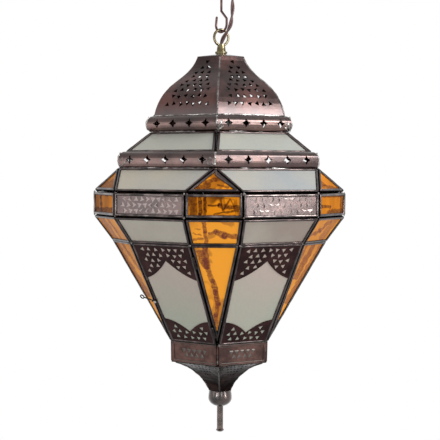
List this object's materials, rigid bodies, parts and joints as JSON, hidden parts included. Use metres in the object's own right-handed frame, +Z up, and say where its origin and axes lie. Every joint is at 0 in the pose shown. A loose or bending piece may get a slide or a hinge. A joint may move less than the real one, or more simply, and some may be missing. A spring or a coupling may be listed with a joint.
{
  "type": "hanging glass lantern",
  "caption": "Six-sided hanging electric lantern with a pierced dome, rolled bands, frosted cream and amber glass panes, a hinged door and a turned finial.",
  "frame": {"origin": "centre between the two ceiling screw holes, on the ceiling plane", "axes": "+Z up into the ceiling along the lantern's axis, -Y towards the front corner of the six sides, +X to the right seen from the front"},
  "size_m": [0.34, 0.3504, 0.6464],
  "materials": {
    "bronze": "dark copper brown patina, satin, pierced by hand",
    "came_metal": "dark patinated came strip, satin, soldered at the corners",
    "embossed_copper": "embossed copper brown sheet, satin",
    "dark_filigree": "very dark brown pierced sheet",
    "cream_glass": "frosted cream glass",
    "amber_glass": "streaky amber glass",
    "steel": "zinc plated",
    "copper_wire": "coppery brown wire, satin",
    "latch_wire": "blackened wire",
    "brass": "antique brass",
    "cord_sleeve": "brown two-core flex",
    "bush_rubber": "matte",
    "holder_plastic": "black moulded",
    "holder_ceramic": "white glazed",
    "bulb_metal": "bright",
    "bulb_glass": "frosted white bulb glass"
  },
  "bodies": {
    "ceiling": {"ceiling_rose": "bronze", "ceiling_bar": "steel", "hook": "copper_wire", "hook_nuts": "steel", "cord_bush": "bush_rubber", "cord": "cord_sleeve"},
    "lantern": {"suspension_loop": "brass", "nipple": "steel", "nipple_washer": "steel", "nipple_nut": "steel", "top_cap": "bronze", "dome_panel_1": "bronze", "dome_panel_2": "bronze", "dome_panel_3": "bronze", "dome_panel_4": "bronze", "dome_panel_5": "bronze", "dome_panel_6": "bronze", "upper_band": "bronze", "lower_band": "bronze", "neck_frames": "came_metal", "neck_panes": "cream_glass", "shoulder_cream_frames": "came_metal", "shoulder_amber_frames": "came_metal", "shoulder_cream_panes": "cream_glass", "shoulder_amber_panes": "amber_glass", "waist_plate_frames": "came_metal", "waist_amber_frames": "came_metal", "waist_plates": "embossed_copper", "waist_amber_panes": "amber_glass", "belly_cream_frames": "came_metal", "belly_amber_frames": "came_metal", "belly_cream_panes": "cream_glass", "belly_amber_panes": "amber_glass", "tall_cream_frames": "came_metal", "tall_amber_frames": "came_metal", "tall_cream_panes": "cream_glass", "tall_amber_panes": "amber_glass", "upper_filigree": "dark_filigree", "lower_filigree": "dark_filigree", "frame_knuckles": "came_metal", "hinge_pins": "steel", "latch_catch": "latch_wire", "collar_frames": "came_metal", "collar_plates": "embossed_copper", "funnel_panels": "dark_filigree", "finial_ball": "bronze", "finial_rod": "bronze", "finial_nut": "steel", "lampholder_cap": "holder_plastic", "lampholder_shell": "holder_plastic", "lampholder_core": "holder_ceramic", "bulb_base": "bulb_metal", "bulb_globe": "bulb_glass"},
    "door": {"door_frame": "came_metal", "door_pane": "cream_glass", "door_upper_filigree": "dark_filigree", "door_lower_filigree": "dark_filigree", "door_knuckles": "came_metal", "latch_rivet": "steel"},
    "latch": {"latch_hook": "latch_wire"}
  },
  "joints": [
    {"name": "swing", "type": "hinge", "parent": "ceiling", "child": "lantern", "pos_m": [0, 0, -0.0853], "axis": [0.7071, -0.7071, 0], "range_deg": [-20, 20], "deforming": ["cord"]},
    {"name": "door_hinge", "type": "hinge", "parent": "lantern", "child": "door", "pos_m": [-0.01609, -0.11507, -0.44348], "axis": [-0.1956, -0.4548, 0.8688], "range_deg": [0, 110]},
    {"name": "latch_pivot", "type": "hinge", "parent": "door", "child": "latch", "pos_m": [-0.08431, -0.06753, -0.45423], "axis": [0.4352, 0.7537, 0.4925], "range_deg": [0, 75]}
  ]
}
